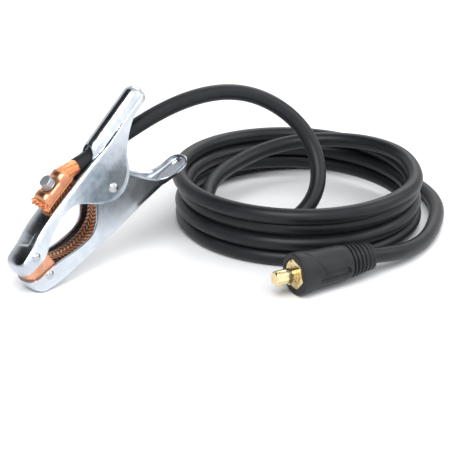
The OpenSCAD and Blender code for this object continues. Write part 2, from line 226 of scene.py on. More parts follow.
def grid_faces(rows, columns, closed=False):
    """Faces of a grid of points, counted row by row; closed joins the last column to the first."""
    faces = []
    for i in range(rows - 1):
        for j in range(columns if closed else columns - 1):
            a = i * columns + j
            b = i * columns + (j + 1) % columns
            faces.append((a, b, b + columns, a + columns))
    return faces


def end_caps(rows, columns):
    """Faces that close both ends of a tube of points, counted ring by ring."""
    return [tuple(range(columns))[::-1], tuple(range((rows - 1) * columns, rows * columns))]


def around(sides):
    """Angles of even steps round a full turn."""
    return [2 * math.pi * k / sides for k in range(sides)]


def on_circle(r, a, z):
    return Vector((r * math.cos(a), r * math.sin(a), z))


def tube(points, radius, sides, up=(0, 0, 1)):
    """Points and faces of a closed tube along a line."""
    verts = []
    for p, (u, v) in zip(points, frames(points, up)):
        verts += [p + radius * (math.cos(a) * u + math.sin(a) * v) for a in around(sides)]
    return verts, grid_faces(len(points), sides, closed=True) + end_caps(len(points), sides)


def lathe(profile, sides, axis_point=(0, 0, 0), axis=(0, 0, 1)):
    """Points and faces of a turned shape; the profile is (radius, distance along the axis)."""
    axis, u = Vector(axis), Vector((1, 0, 0))
    v = axis.cross(u)
    verts = []
    for r, h in profile:
        verts += [Vector(axis_point) + axis * h + r * (math.cos(a) * u + math.sin(a) * v)
                  for a in around(sides)]
    return verts, grid_faces(len(profile), sides, closed=True)


def joined(*parts):
    """Several sets of points and faces as one."""
    verts, faces = [], []
    for v, f in parts:
        base = len(verts)
        verts += v
        faces += [tuple(base + i for i in face) for face in f]
    return verts, faces


def arc_profile(centre, radius, start, end, steps):
    """Points (radius, height) along an arc, angles in degrees."""
    out = []
    for i in range(steps + 1):
        a = math.radians(between(start, end, i / steps))
        out.append((centre[0] + radius * math.cos(a), centre[1] + radius * math.sin(a)))
    return out


# ---- materials
def add_node(tree, kind, values):
    """A new node of the tree, with values in its named sockets."""
    node = tree.nodes.new(kind)
    for socket, value in values.items():
        node.inputs[socket].default_value = value
    return node


class Look:
    """A material's node tree, built up step by step."""

    def __init__(self, name):
        self.material = bpy.data.materials.new(name)
        self.material.use_nodes = True
        self.tree = self.material.node_tree
        self.links = self.tree.links
        self.shader = self.tree.nodes["Principled BSDF"]
        self.place = add_node(self.tree, "ShaderNodeTexCoord", {}).outputs["Object"]

    def feed(self, socket, value):
        """Sets a socket to a number, or links an output to it."""
        if isinstance(value, float):
            socket.default_value = value
        else:
            self.links.new(value, socket)

    def stretched(self, scale):
        node = add_node(self.tree, "ShaderNodeMapping", {"Scale": scale})
        self.links.new(self.place, node.inputs["Vector"])
        return node.outputs["Vector"]

    def noise(self, scale, detail=3.0, rough=0.5, vector=None, distortion=0.0):
        node = add_node(self.tree, "ShaderNodeTexNoise",
                        {"Scale": scale, "Detail": detail, "Roughness": rough, "Distortion": distortion})
        self.links.new(vector or self.place, node.inputs["Vector"])
        return node.outputs["Fac"]

    def ramp(self, factor, stops):
        node = add_node(self.tree, "ShaderNodeValToRGB", {})
        for element, (at, colour) in zip(node.color_ramp.elements, stops):
            element.position = at
            element.color = (*colour, 1.0)
        self.links.new(factor, node.inputs["Fac"])
        return node.outputs["Color"]

    def spread(self, factor, low, high, start=0.3, end=0.7):
        node = add_node(self.tree, "ShaderNodeMapRange",
                        {"From Min": start, "From Max": end, "To Min": low, "To Max": high})
        self.links.new(factor, node.inputs["Value"])
        return node.outputs["Result"]

    def attribute(self, name):
        node = add_node(self.tree, "ShaderNodeAttribute", {})
        node.attribute_name = name
        return node.outputs["Fac"]

    def bump(self, height, strength, distance, below=None):
        node = add_node(self.tree, "ShaderNodeBump", {"Strength": strength, "Distance": distance})
        self.links.new(height, node.inputs["Height"])
        if below:
            self.links.new(below, node.inputs["Normal"])
        self.links.new(node.outputs["Normal"], self.shader.inputs["Normal"])
        return node.outputs["Normal"]

    def nearness(self, place, inner, outer):
        """1 within the inner distance of a place, falling to 0 at the outer one."""
        gap = add_node(self.tree, "ShaderNodeVectorMath", {1: place})
        gap.operation = "DISTANCE"
        self.links.new(self.place, gap.inputs[0])
        return self.spread(gap.outputs["Value"], 1.0, 0.0, start=inner, end=outer)

    def arithmetic(self, operation, first, second):
        node = add_node(self.tree, "ShaderNodeMath", {})
        node.operation = operation
        self.feed(node.inputs[0], first)
        self.feed(node.inputs[1], second)
        return node.outputs["Value"]

    def mixed(self, factor, first, second, kind="MIX"):
        node = add_node(self.tree, "ShaderNodeMix", {})
        node.data_type = "RGBA"
        node.blend_type = kind
        self.feed(node.inputs["Factor"], factor)
        self.links.new(first, node.inputs["A"])
        self.links.new(second, node.inputs["B"])
        return node.outputs["Result"]

    def use(self, socket, output):
        self.links.new(output, self.shader.inputs[socket])


def steel_look(name, dark, light, rough, cloud=45.0, shaded_satin_place=None):
    """Zinc-plated steel; around a place given in metres it is rougher and mottled, and its colour is darker
    there as painted shade.
    """
    look = Look(name)
    look.shader.inputs["Metallic"].default_value = 1.0
    clouds = look.noise(cloud, detail=4.0, rough=0.6, distortion=0.4)
    colour = look.ramp(clouds, [(0.3, dark), (0.7, light)])
    roughness = look.spread(clouds, rough - 0.04, rough + 0.06)
    if shaded_satin_place:
        near = look.nearness(shaded_satin_place, 0.014, 0.044)
        mottle = look.noise(150.0, detail=5.0, rough=0.7)
        # Painted shade: near the pivot the colour falls to a darker mottle; the mottle and the added
        # roughness are the satin finish.
        satin_and_painted_shade = look.ramp(mottle, [(0.32, (0.17, 0.205, 0.245)), (0.68, (0.31, 0.36, 0.415))])
        colour = look.mixed(near, colour, satin_and_painted_shade)
        roughness = look.arithmetic("ADD", roughness, look.arithmetic("MULTIPLY", near, 0.14))
    look.use("Base Color", colour)
    look.use("Roughness", roughness)
    grain = look.noise(700.0, detail=2.0, vector=look.stretched((0.25, 1.0, 1.0)))
    fine = look.bump(grain, 0.07, 0.00010)
    look.bump(look.noise(90.0, detail=2.0), 0.035, 0.0006, below=fine)
    return look.material


def copper_look(name, dark, light, rough, scale=220.0):
    """Copper or brass sheet, clouded and finely streaked."""
    look = Look(name)
    look.shader.inputs["Metallic"].default_value = 1.0
    clouds = look.noise(90.0, detail=4.0, rough=0.6)
    look.use("Base Color", look.ramp(clouds, [(0.32, dark), (0.68, light)]))
    streaks = look.noise(scale, detail=3.0, vector=look.stretched((0.3, 1.0, 0.6)))
    look.use("Roughness", look.spread(streaks, rough - 0.06, rough + 0.10))
    look.bump(streaks, 0.12, 0.0003)
    return look.material


def strand_look(name, groove, crest, rough):
    """Bare copper wire: the attribute height sets a colour from groove to crest; where it is a weave's
    height, the dark groove colour is painted shade.
    """
    look = Look(name)
    look.shader.inputs["Metallic"].default_value = 0.85
    fine = look.noise(900.0, detail=2.0)
    # Painted shade: low heights take the dark groove colour.
    tone = look.ramp(look.attribute("height"), [(0.15, groove), (0.75, crest)])
    shade = look.ramp(fine, [(0.3, (0.55, 0.55, 0.55)), (0.7, (1.0, 1.0, 1.0))])
    look.use("Base Color", look.mixed(0.5, tone, shade, kind="MULTIPLY"))
    look.use("Roughness", look.spread(fine, rough - 0.08, rough + 0.08))
    look.bump(fine, 0.35, 0.0002)
    return look.material


def rubber_look(name, dark, light, rough, sheen=0.0):
    """Dull rubber with a fine grain."""
    look = Look(name)
    clouds = look.noise(60.0, detail=3.0)
    look.use("Base Color", look.ramp(clouds, [(0.3, dark), (0.7, light)]))
    fine = look.noise(1400.0, detail=3.0, rough=0.6)
    look.use("Roughness", look.spread(fine, rough - 0.05, rough + 0.07))
    look.shader.inputs["Specular IOR Level"].default_value = 0.27
    look.shader.inputs["Sheen Weight"].default_value = sheen
    look.bump(fine, 0.12, 0.0002)
    return look.material


# The middle of the mottled patch over the pivot, where the steel's colour is darkened as painted shade.
EAR_MIDDLE = tuple(clamp_to_shared((100, -16, 13)) * MM)
LOOKS = {
    "arm_steel": steel_look("pressed_steel", (0.46, 0.50, 0.55), (0.66, 0.70, 0.75), 0.18,
                            shaded_satin_place=EAR_MIDDLE),
    "rivet_steel": steel_look("rivet_steel", (0.36, 0.37, 0.39), (0.52, 0.53, 0.55), 0.24, cloud=200.0),
    "spring_steel": steel_look("spring_steel", (0.20, 0.21, 0.22), (0.34, 0.35, 0.37), 0.35, cloud=200.0),
    "bolt_steel": steel_look("bolt_steel", (0.34, 0.36, 0.39), (0.48, 0.50, 0.53), 0.46, cloud=160.0),
    "pad_copper": copper_look("copper_plate", (0.56, 0.25, 0.155), (0.76, 0.40, 0.27), 0.27),
    "saddle_copper": copper_look("saddle_copper", (0.46, 0.19, 0.105), (0.66, 0.31, 0.185), 0.30),
    "bare_copper": strand_look("bare_strands", (0.36, 0.10, 0.035), (0.97, 0.42, 0.19), 0.33),
    # The braid's nearly black groove colour is painted shade.
    "braid_copper": strand_look("copper_braid", (0.07, 0.022, 0.008), (0.56, 0.255, 0.135), 0.38),
    "cable_rubber": rubber_look("cable_sheath", (0.0045, 0.0054, 0.0074), (0.0075, 0.0086, 0.0112), 0.38,
                                sheen=0.02),
    "plug_rubber": rubber_look("plug_rubber", (0.010, 0.0105, 0.012), (0.017, 0.018, 0.020), 0.50),
    "plug_brass": copper_look("plug_brass", (0.66, 0.50, 0.24), (0.84, 0.70, 0.42), 0.22, scale=400.0),
}


# ---- camera, light, floor
def look_at(thing, target):
    thing.rotation_euler = (Vector(target) - thing.location).to_track_quat("-Z", "Y").to_euler()


def make_camera():
    """A long lens at the photograph's viewing angle."""
    azimuth, elevation, distance = math.radians(-40), math.radians(23), 1.5
    target = Vector((0.1405, 0.0009, -0.0006))
    away = Vector((math.sin(azimuth) * math.cos(elevation),
                   -math.cos(azimuth) * math.cos(elevation), math.sin(elevation)))
    camera = placed("camera", bpy.data.cameras.new("camera"))
    camera.data.sensor_width = 36.0
    camera.data.lens = 129.0
    camera.data.clip_end = 20.0
    camera.location = target + distance * away
    look_at(camera, target)
    bpy.context.scene.camera = camera


def make_light(name, place, target, size, power):
    data = bpy.data.lights.new(name, "AREA")
    data.shape = "RECTANGLE"
    data.size, data.size_y = size
    data.energy = power
    lamp = placed(name, data)
    lamp.location = place
    look_at(lamp, target)


def make_world():
    """A bright room with two dark patches overhead and a wide soft box above the camera."""
    world = bpy.data.worlds.new("studio")
    bpy.context.scene.world = world
    world.use_nodes = True
    tree, links = world.node_tree, world.node_tree.links
    place = add_node(tree, "ShaderNodeTexCoord", {}).outputs["Generated"]

    def patch(towards, start, end, low, high):
        """Goes from low to high by the cosine between the view and a direction."""
        dot = add_node(tree, "ShaderNodeVectorMath", {1: Vector(towards).normalized()})
        dot.operation = "DOT_PRODUCT"
        links.new(place, dot.inputs[0])
        soft = add_node(tree, "ShaderNodeMapRange",
                        {"From Min": start, "From Max": end, "To Min": low, "To Max": high})
        soft.interpolation_type = "SMOOTHSTEP"
        links.new(dot.outputs["Value"], soft.inputs["Value"])
        return soft.outputs["Result"]

    strength = patch((0, 0, 1), -0.2, 1.0, 0.95, 0.75)
    for operation, part in (("MULTIPLY", patch((-0.46, 0.46, 0.76), 0.79, 0.91, 1.0, 0.03)),
                            ("MULTIPLY", patch((-0.60, -0.02, 0.80), 0.90, 0.975, 1.0, 0.06)),
                            ("ADD", patch((-0.10, -0.75, 0.62), 0.45, 0.85, 0.0, 0.7))):
        node = add_node(tree, "ShaderNodeMath", {})
        node.operation = operation
        links.new(strength, node.inputs[0])
        links.new(part, node.inputs[1])
        strength = node.outputs["Value"]
    background = tree.nodes["Background"]
    background.inputs["Color"].default_value = (0.985, 0.99, 1.0, 1.0)
    links.new(strength, background.inputs["Strength"])


def make_studio():
    """Three soft lights, the room and a pale floor."""
    middle = (0.1, 0.0, 0.05)
    make_light("key", (-0.9, -0.7, 1.5), middle, (1.1, 1.1), 26.0)
    make_light("fill", (1.3, -1.0, 1.2), middle, (1.2, 1.2), 9.0)
    make_light("side", (1.6, 0.9, 1.5), middle, (1.4, 1.0), 12.0)
    make_world()
    mesh = bpy.data.meshes.new("floor")
    mesh.from_pydata([(-8, -8, 0), (8, -8, 0), (8, 8, 0), (-8, 8, 0)], [], [(0, 1, 2, 3)])
    floor = placed("floor", mesh)
    look = Look("pale_floor")
    tones = [(0.3, (0.86, 0.87, 0.88)), (0.7, (0.90, 0.905, 0.91))]
    look.use("Base Color", look.ramp(look.noise(3.0), tones))
    look.shader.inputs["Roughness"].default_value = 0.35
    look.shader.inputs["Specular IOR Level"].default_value = 0.25
    mesh.materials.append(look.material)
    bpy.context.scene.view_settings.view_transform = "Standard"


# ---- cable
# The cable's middle, as in part.scad: inside the upper arm, round the free loop, and out to the plug.
ENTRY_ROUTE = [(-25, 0, 99.5), (-11, 0, 103.5), (3, 0, 108.5)]
LOOP_ROUTE = [
    (29, 0, 117.5), (54, -2, 126.5), (79, -5, 133.5), (103, -10, 137.5), (127, -16, 137.5),
    (150, -26, 132), (169, -38, 120), (183, -50, 104), (189, -62, 86), (186, -74, 69),
    (177, -83, 54), (163, -88, 42), (147, -86, 32), (131, -77, 24.5), (118, -61, 20.5),
    (111, -40, 19), (112, -16, 21), (121, 6, 25.5), (139, 24, 31), (162, 37, 35),
    (188, 41, 39), (214, 41, 43.5), (240, 33, 48), (262, 17, 51.5), (279, -4, 53.5),
    (290, -28, 55), (295, -53, 55), (292, -78, 54), (279, -102, 52.5),
]
TAIL_ROUTE = [(258, -145, 7), (226, -159, 9), (194, -166, 14), (164, -163, 18.5)]
COIL_CENTRE, COIL_RADIUS = (203, -29), 108
TAIL_CENTRE, TAIL_RADIUS = (221, -26), 119
COIL_FRONT = math.radians(-130)
COIL_START, TAIL_START, TAIL_END = 0.8, 4.1, 4.78  # in turns from the coil's front
TURN_HEIGHTS = [61, 47.5, 34.8, 21, CABLE_R, CABLE_R]
TURN_SHIFTS = [0, 3, -3, 0, 0, 0]
COIL_STEPS = 100


def along_turns(values, u):
    """A value after u turns: level near the coil's front, then easing to the next turn's."""
    n = math.floor(u)
    return between(values[n], values[n + 1], smooth((u - n - 0.25) / 0.75))


def coil_point(u):
    """The cable's middle after u turns, counted from the coil's front."""
    a = COIL_FRONT - 2 * math.pi * u
    out = smooth((u - TAIL_START) / 0.35)
    r = COIL_RADIUS + along_turns(TURN_SHIFTS, u)
    x = between(COIL_CENTRE[0] + r * math.cos(a), TAIL_CENTRE[0] + TAIL_RADIUS * math.cos(a), out)
    y = between(COIL_CENTRE[1] + r * math.sin(a), TAIL_CENTRE[1] + TAIL_RADIUS * math.sin(a), out)
    return Vector((x, y, along_turns(TURN_HEIGHTS, u)))


def cable_points():
    """The cable's middle, from under the saddle to the plug."""
    turns = [coil_point(between(COIL_START, TAIL_END, i / COIL_STEPS)) for i in range(COIL_STEPS + 1)]
    return relaxed(even(spline(ENTRY_ROUTE + LOOP_ROUTE + turns + TAIL_ROUTE, 6), 4.0), 16)


def blend_along(piece, points):
    """Bakes the piece's placing into its mesh, then finds for each of its points the nearest point of a line;
    nothing is kept from that search.
    """
    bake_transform(piece)
    guess = 0
    for vertex in piece.data.vertices:
        p = vertex.co / MM
        near = range(max(0, guess - 3), min(len(points), guess + 4))
        best = min(near, key=lambda i: (points[i] - p).length_squared)
        if (points[best] - p).length > 20:
            best = min(range(len(points)), key=lambda i: (points[i] - p).length_squared)
        guess = best


def make_cable(plug_pieces):
    points = cable_points()
    cable = make_piece("cable", *tube(points, CABLE_R, 28), "cable_rubber", None, angle=60, where=Vector)
    blend_along(cable, points)
    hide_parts("cable_entry", "cable_loop", "cable_coil", "cable_tail")


# ---- arms
def dense(points):
    """A line of (x, height) points, rounded."""
    return [(p.x, p.y) for p in spline([(x, z, 0) for x, z in points], 5)]


# From nose to handle: the webs' outer faces, and the free edges of the walls.
UPPER_WEB = dense([(0, 11), (1.5, 13.5), (6, 15.8), (19, 19), WEB_KNEE, (114, 36), (175, 44.8),
                   (187, 44.8)])
LOWER_WEB = dense([(0, 12), (1.5, 17.5), (6, 22), (13, 24.5), (23, 27), (59, 31.4), (114, 37),
                   (175, 44.8), (187, 44.8)])
UPPER_EDGE = dense([
    (-3, 3.4), (10, 3.4), (22, 3.6), (29, 6.6), (36, 11.6), (44, 16.2), (55, 19.6), (66, 21.2), (73, 20),
    (80, 14.8), (87, 6.5), (94, 0), (102, -4.8), (110, -6.4), (118, -4.6), (126, 1.2), (132, 10),
    (137, 18.5), (144, 24.5), (152, 31), (161, 36.6), (172, 39.4), (192, 40),
])
LOWER_EDGE = dense([
    (-3, 4.5), (5, 6.2), (13, 7.8), (30, 9.6), (46, 14), (60, 16.4), (70, 16.4), (78, 12), (84, 5),
    (89, -3), (95, -10.5), (103, -15.4), (112, -15.6), (120, -10.6), (127, -2.6), (133, 6.5),
    (139, 16.5), (146, 26.5), (153, 33.2), (162, 37.4), (172, 39.6), (192, 40),
])


def stations(half_width, inset=0.0, end=None, extra=()):
    """Places round one side of a plan outline: x, half-width and the direction outwards.

    The outline stops at end, or has a handle's round tip. Places at the extra values of x are added.
    """
    out = []
    length, half = NOSE_CORNER - inset, NOSE_R - inset
    for i in range(24):
        a = 0.5 * math.pi * i / 24
        u, v = math.cos(a) ** (2 / NOSE_POWER), math.sin(a) ** (2 / NOSE_POWER)
        nx, ny = -u ** (NOSE_POWER - 1) / length, v ** (NOSE_POWER - 1) / half
        size = math.hypot(nx, ny)
        out.append((NOSE_CORNER - length * u, half * v, nx / size, ny / size))
    straight = list(extra)
    x, last = NOSE_CORNER, end or TIP_X
    while x < last - 0.4:
        if all(abs(x - other) >= 0.35 for other in extra):
            straight.append(x)
        x += 0.8 if x < 42 else 1.5  # closer over the nose and its panel
    out += [(x, half_width(x), 0.0, 1.0) for x in sorted(straight)]
    if end:
        out.append((end, half_width(end), 0.0, 1.0))
        return out
    for i in range(18):
        a = 0.5 * math.pi * (1 - i / 17)
        out.append((TIP_X + GRIP_R * math.cos(a), GRIP_R * math.sin(a), math.cos(a), math.sin(a)))
    return out


def web_offsets(x, half, steps):
    """Places across a web, with columns in line with the slot's sides and dense near both walls."""
    inner = min(slot_half(x), 0.8 * half)
    bound = math.cos(0.2 * math.pi)
    for k in range(1, steps):
        t = -math.cos(math.pi * k / steps)
        beyond = (abs(t) - bound) / (1 - bound)
        offset = between(inner, half, beyond) if beyond > 0 else inner * abs(t) / bound
        yield math.copysign(offset, t)


def nothing(x):
    """A measure that is zero all along an arm."""
    return 0.0


def shell_grid(places, height, edge, corner, bulge=nothing, lip=nothing, flip=False, walls=14, across=40):
    """Grid of a pressed shell: up the near wall, over the web and down the far wall.

    Along x, edge is the walls' lower edge, corner the radius between wall and web, bulge how far
    the walls stand out, and lip how far their rim flares.
    """
    verts, rounds = [], 8
    for x, w, nx, ny in places:
        top = height(x, w)
        radius = min(corner(x), 0.8 * (top - edge(x)))
        half = []
        for k in range(walls):
            z = between(edge(x), top - radius, (k / walls) ** 1.3)
            flare = lip(x) * (1 - smooth((z - edge(x)) / 2.4))
            out = bulge(x) * smooth((top - z) / 15.0) + flare
            half.append((x - nx * flare, w + out * ny, z))
        for k in range(rounds + 1):
            a = 0.5 * math.pi * k / rounds
            inset = radius * (1 - math.cos(a))
            px, py = x - nx * inset, max(0.0, w - ny * inset)
            half.append((px, py, height(px, py) - radius * (1 - math.sin(a))))
        px, py = half[-1][:2]
        web = [(px, y, height(px, y)) for y in web_offsets(px, py, across)]
        verts += [(a, -b, c) for a, b, c in half] + web + half[::-1]
    if flip:
        verts = [(a, b, -c) for a, b, c in verts]
    return [Vector(v) for v in verts], grid_faces(len(places), len(verts) // len(places))


def face_outwards(piece, away_from):
    """Turns the faces of an open sheet so that they point away from a point of the clamp's frame."""
    centre = clamp_to_shared(away_from) * MM
    score = sum((p.center - centre).dot(p.normal) * p.area for p in piece.data.polygons)
    if score < 0:
        with edited(piece.data) as bm:
            bmesh.ops.reverse_faces(bm, faces=bm.faces)


def thicken(piece, thickness, edge_round):
    """Gives an open sheet its thickness inwards and rounds its edges."""
    solid = piece.modifiers.new("sheet", "SOLIDIFY")
    solid.thickness = thickness * MM
    solid.offset = -1.0
    solid.use_even_offset = False
    bake(piece)
    bevel = piece.modifiers.new("edges", "BEVEL")
    bevel.width = edge_round * MM
    bevel.segments = 2
    bevel.limit_method = "ANGLE"
    bevel.angle_limit = math.radians(55)
    bevel.use_clamp_overlap = True
    bake(piece)


def make_pressed(name, node, grid, slot, body, inside, sheet=SHEET, edge_round=0.5, merge=0.0,
                 where=clamp_to_shared, look=None):
    """A piece pressed from sheet: its grid is the outer skin round a point, with near points merged."""
    piece = make_piece(name, *grid, slot, body, where=where, look=look)
    if merge:
        with edited(piece.data) as bm:
            bmesh.ops.remove_doubles(bm, verts=bm.verts, dist=merge * MM)
            bmesh.ops.delete(bm, geom=[v for v in bm.verts if not v.link_faces], context="VERTS")
    face_outwards(piece, inside)
    thicken(piece, sheet, edge_round)
    finish_piece(piece, slot, 40, look)
    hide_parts(node)


def carve(piece, outline, low, high, where):
    """Cuts a prism over an outline of (x, y) out of a piece."""
    n = len(outline)
    mesh = bpy.data.meshes.new("cutter")
    points = [where(Vector((x, y, z))) * MM for z in (low, high) for x, y in outline]
    mesh.from_pydata(points, [], grid_faces(2, n, closed=True) + end_caps(2, n))
    with edited(mesh) as bm:
        bmesh.ops.recalc_face_normals(bm, faces=bm.faces)
    tool = placed("cutter", mesh)
    cut = piece.modifiers.new("cut", "BOOLEAN")
    cut.operation, cut.solver, cut.object = "DIFFERENCE", "EXACT", tool
    bake(piece)
    bpy.data.objects.remove(tool)
    bpy.data.meshes.remove(mesh)


def smooth_max(a, b, reach):
    """The greater of two values, with the kink between them rounded."""
    h = max(reach - abs(a - b), 0.0) / reach
    return max(a, b) + h * h * reach / 4


def handle_axis(x):
    """Height of the middle of the handle's round top."""
    return 33 + (min(x, TIP_X) - 114) * math.tan(math.radians(10))


def upper_height(x, y):
    """The upper web: crowned, with the embossed panel behind the nose and the handle's round top."""
    z = line(UPPER_WEB, x) - CROWN * y * y
    sides = smooth((PANEL_NEAR + 0.1 * max(0.0, x - 21) + y) / 0.8 + 0.5) * smooth((PANEL_FAR - y) / 1.6)
    z += PANEL_RISE * sides * smooth((x - PANEL_FRONT + 0.3 * y) / 0.8) * (1 - smooth((x - PANEL_REAR) / 12))
    rho = math.hypot(max(0.0, x - TIP_X), y)
    if x > HANDLE_START and rho < HANDLE_R:
        sink = 9.0 * (1 - smooth((x - HANDLE_START) / 22))
        z = smooth_max(z, handle_axis(x) - sink + math.sqrt(HANDLE_R ** 2 - rho ** 2), 0.35)
    return z


def upper_half(x):
    return line([(0, NOSE_R), (130, NOSE_R + 0.2), (152, GRIP_R + 1), (TIP_X, GRIP_R)], x)


def lower_half(x):
    return line([(0, NOSE_R), (118, NOSE_R), (152, GRIP_R + 1), (TIP_X, GRIP_R)], x)


def ear_bulge(x):
    """How far the upper arm's walls stand out over the pivot."""
    return 2.3 * smooth((x - 58) / 26) * (1 - smooth((x - 126) / 24))


def upper_corner(x):
    return line([(0, 3.0), (12, 3.4), (30, 4.2), (60, 5.0), (108, 5.0), (126, 1.8), (140, 0.8)], x)


def lower_corner(x):
    return line([(0, 3.4), (50, 3.8), (90, 5.5), (125, 8.5), (150, 9.0)], x)


def slot_half(x):
    """Half-width of the slot in the upper web, and of the columns of faces in line with it."""
    if x > SLOT_REAR:
        return max(0.4, SLOT_R * smooth((x - SLOT_REAR) / 8))
    return max(0.4, math.sqrt(SLOT_R ** 2 - max(0.0, x - SLOT_REAR + SLOT_R) ** 2))


def in_slot(p):
    """Whether a point of the upper arm's grid lies in the slot or on its edge."""
    gap = 0.01
    return SLOT_FRONT - gap < p.x < SLOT_REAR + gap and abs(p.y) < slot_half(p.x) + gap


def make_upper_arm():
    rounding = [SLOT_REAR - SLOT_R * (1 - math.sin(math.radians(a)))
                for a in (0, 15, 30, 45, 57, 67, 76, 84, 90)]
    verts, faces = shell_grid(
        stations(upper_half, extra=[SLOT_FRONT] + rounding), upper_height, lambda x: line(UPPER_EDGE, x),
        upper_corner, ear_bulge, lambda x: 0.4 + 0.5 * smooth((x - 72) / 14) * (1 - smooth((x - 128) / 14)))
    faces = [face for face in faces if not all(in_slot(verts[i]) for i in face)]
    make_pressed("upper_arm_skin", "upper_arm", (verts, faces), "arm_steel", UPPER, (90, 0, -40), merge=0.08)


def make_lower_arm():
    grid = shell_grid(stations(lower_half), lambda x, y: line(LOWER_WEB, x), lambda x: line(LOWER_EDGE, x),
                      lower_corner, lip=lambda x: 0.35 + 0.5 * smooth((x - 130) / 20), flip=True)
    make_pressed("lower_arm_skin", "lower_arm", grid, "arm_steel", LOWER, (90, 0, 40))


# ---- rivets, spring, pads
PAD_RIVET_X = 19.0
SPRING_R, SPRING_WIRE, SPRING_WIDTH, SPRING_TURNS = 7.3, 1.4, 17.6, 4
UPPER_LEG, LOWER_LEG = (43.0, 37.0), (-52.0, 44.5)  # each leg's direction in degrees, and its length
PAD_R, PAD_END, PARTING = NOSE_R - SHEET - 0.2, 29.0, 3.0


def rivet_head(x, z, y, side, radius, height):
    """A domed head on the plane at y, pointing to that side."""
    ball = (radius ** 2 + height ** 2) / (2 * height)
    edge = math.degrees(math.asin(radius / ball))
    dome = arc_profile((0, height - ball), ball, 90 - edge, 90, 10)
    profile = [(0, -0.2), (radius * 0.96, -0.2), (radius, 0.0)] + dome
    return lathe(profile, 32, (x, y, z), (0, side, 0))


def make_rivets():
    heads = [rivet_head(PIVOT.x, PIVOT.z, side * (EAR_R - 0.05), side, radius=5.0, height=2.9)
             for side in (-1, 1)]
    shank = lathe([(0, -16.5), (4.0, -16.5), (4.0, 16.5), (0, 16.5)], 32, tuple(PIVOT), (0, 1, 0))
    pivot = make_piece("pivot_rivet_turned", *joined(shank, *heads), "rivet_steel", LOWER)
    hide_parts("pivot_rivet")
    for name, height, body in (("upper_pad_rivets", 11, UPPER), ("lower_pad_rivets", -12, LOWER)):
        parts = []
        for side in (-1, 1):
            parts.append(rivet_head(PAD_RIVET_X, height, side * (NOSE_R + 0.02), side, radius=4.0,
                                    height=2.3))
            parts.append(lathe([(0, -4.2), (2.0, -4.2), (2.0, 0.1), (0, 0.1)], 20,
                               (PAD_RIVET_X, side * NOSE_R, height), (0, side, 0)))
        heads = make_piece(name + "_turned", *joined(*parts), "rivet_steel", body)
        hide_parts(name)


def make_spring():
    start = LOWER_LEG[0] - 90
    sweep = LOWER_LEG[0] - UPPER_LEG[0] - 180 - 360 * SPRING_TURNS

    def wire(t):
        a = math.radians(start + sweep * t)
        return PIVOT + Vector((SPRING_R * math.cos(a), SPRING_WIDTH * (0.5 - t), SPRING_R * math.sin(a)))

    def leg(p, degrees, length):
        a = math.radians(degrees)
        return p + length * Vector((math.cos(a), 0, math.sin(a)))

    coil = [wire(i / 160) for i in range(161)]
    points = even([leg(coil[0], *LOWER_LEG)] + coil + [leg(coil[-1], *UPPER_LEG)], 1.0)
    spring = make_piece("spring_wire", *tube(points, SPRING_WIRE, 12, up=(0, 1, 0)), "spring_steel", None,
                        angle=60)
    path = [clamp_to_shared(p) for p in points]
    blend_along(spring, path)
    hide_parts("torsion_spring")


def make_pad(name, node, body, face, depth, corner, flip, inside):
    """A copper cup in a nose: its flat face at a height, and its walls a depth up or down from there."""
    verts, faces = shell_grid(stations(lambda x: PAD_R, NOSE_R - PAD_R, end=PAD_END), lambda x, y: 0.0,
                              lambda x: -depth(x), lambda x: corner, flip=flip, walls=6, across=16)
    verts = [Vector((v.x, v.y, v.z + face)) for v in verts]
    make_pressed(name, node, (verts, faces), "pad_copper", body, inside, edge_round=0.3)


def make_pads():
    make_pad("lower_pad_cup", "lower_jaw_pad", LOWER, PARTING, lambda x: 18.5 - 0.1 * max(0.0, 12 - x),
             1.4, False, (20, 0, -8))
    low = PARTING + 0.2
    make_pad("upper_pad_cup", "upper_jaw_pad", UPPER, low,
             lambda x: min(line(UPPER_WEB, x) - SHEET - 1.0, 14.5) - low, 1.2, True, (20, 0, 12))


# ---- saddle, bolt, strands, braid
BRAID_LAYER, BRAID_WIDTH = 1.6, 16.0
STACK_LOW = 2 * BRAID_LAYER + 0.1  # the strands' lower side, over the web
CONDUCTOR_HEIGHT = 8.0
SADDLE_SHEET, SADDLE_LENGTH, SADDLE_WIDTH = 2.5, 30.0, 21.0
SADDLE_TOP = STACK_LOW + CONDUCTOR_HEIGHT + SADDLE_SHEET
SADDLE_HUMPS = ((0.8, -10.8, 3.7), (1.0, 10.6, 4.0))  # height, place and reach


def on_web(p):
    """A point of the frame on the upper web under the bolt, in the clamp's frame."""
    base = WEB_KNEE[1] + (BOLT_X - WEB_KNEE[0]) * math.tan(WEB_SLOPE)
    return Vector((BOLT_X + p[0] * math.cos(WEB_SLOPE) - p[2] * math.sin(WEB_SLOPE), p[1],
                   base + p[0] * math.sin(WEB_SLOPE) + p[2] * math.cos(WEB_SLOPE)))


def web_to_shared(p):
    return clamp_to_shared(on_web(p))


def leaned_back(d, angle):
    """A vector turned about y, opposite to how the frames lean."""
    return Vector((d.x * math.cos(angle) + d.z * math.sin(angle), d.y,
                   -d.x * math.sin(angle) + d.z * math.cos(angle)))


def shared_to_web(p):
    """A point of the shared frame, in the frame on the upper web."""
    on_clamp = leaned_back(Vector(p) - HINGE, LEAN) + PIVOT
    return leaned_back(on_clamp - on_web((0, 0, 0)), WEB_SLOPE)


